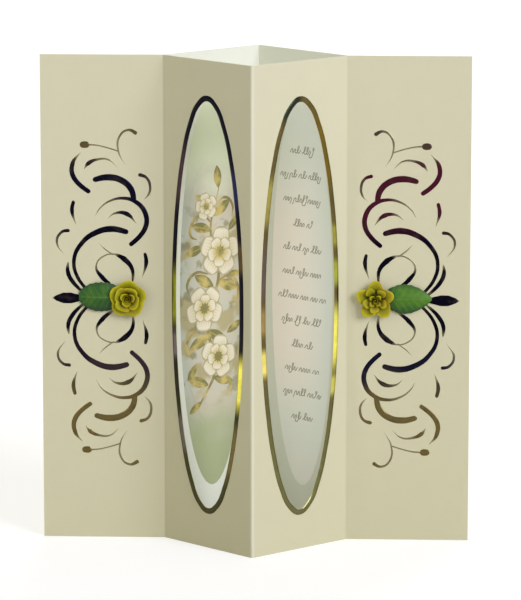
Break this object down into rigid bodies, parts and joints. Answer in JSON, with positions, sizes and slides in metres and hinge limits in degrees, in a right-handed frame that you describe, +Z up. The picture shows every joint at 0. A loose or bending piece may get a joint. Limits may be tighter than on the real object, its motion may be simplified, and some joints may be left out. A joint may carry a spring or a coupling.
{
  "type": "greeting card",
  "caption": "Standing greeting card: wings with foil scrolls, roses and leaves beside a diamond-shaped tube of folded panels, with foil-rimmed oval windows over a picture and a verse.",
  "frame": {"origin": "middle of the footprint, on the surface that the card stands on", "axes": "+Z up along the folds, +X along the wings from the picture's side to the verse's side, -Y towards the viewer, so the front ridge points along -Y and the rear ridge along +Y"},
  "size_m": [0.183, 0.0706, 0.21],
  "materials": {
    "cover_stock": "matt, fine-grained pale sage-cream card",
    "inner_stock": "matt, smooth ivory card",
    "scroll_foil": "raised mirror foil that turns from navy black to olive gold",
    "rim_foil": "raised mirror foil that turns from navy black to bright gold",
    "rose_paper": "matt yellow-green crepe-like paper, darker in its folds",
    "leaf_paper": "matt deep green paper with a paler middle",
    "ground_ink": "flat pale green print",
    "haze_ink": "flat cream print",
    "sprig_ink": "flat tan-gold print",
    "verse_ink": "flat pale blue-grey print that warms towards its middle",
    "line_ink": "flat grey print"
  },
  "bodies": {
    "root": {"cover_card": "cover_stock", "inner_sheet": "inner_stock", "foil_scroll_left": "scroll_foil", "foil_scroll_right": "scroll_foil", "foil_rim_left": "rim_foil", "foil_rim_right": "rim_foil", "rose_left": "rose_paper", "rose_right": "rose_paper", "leaf_left": "leaf_paper", "leaf_right": "leaf_paper", "picture_ground": "ground_ink", "picture_haze": "haze_ink", "picture_sprig": "sprig_ink", "verse_ground": "verse_ink", "verse_lines": "line_ink"}
  },
  "joints": []
}
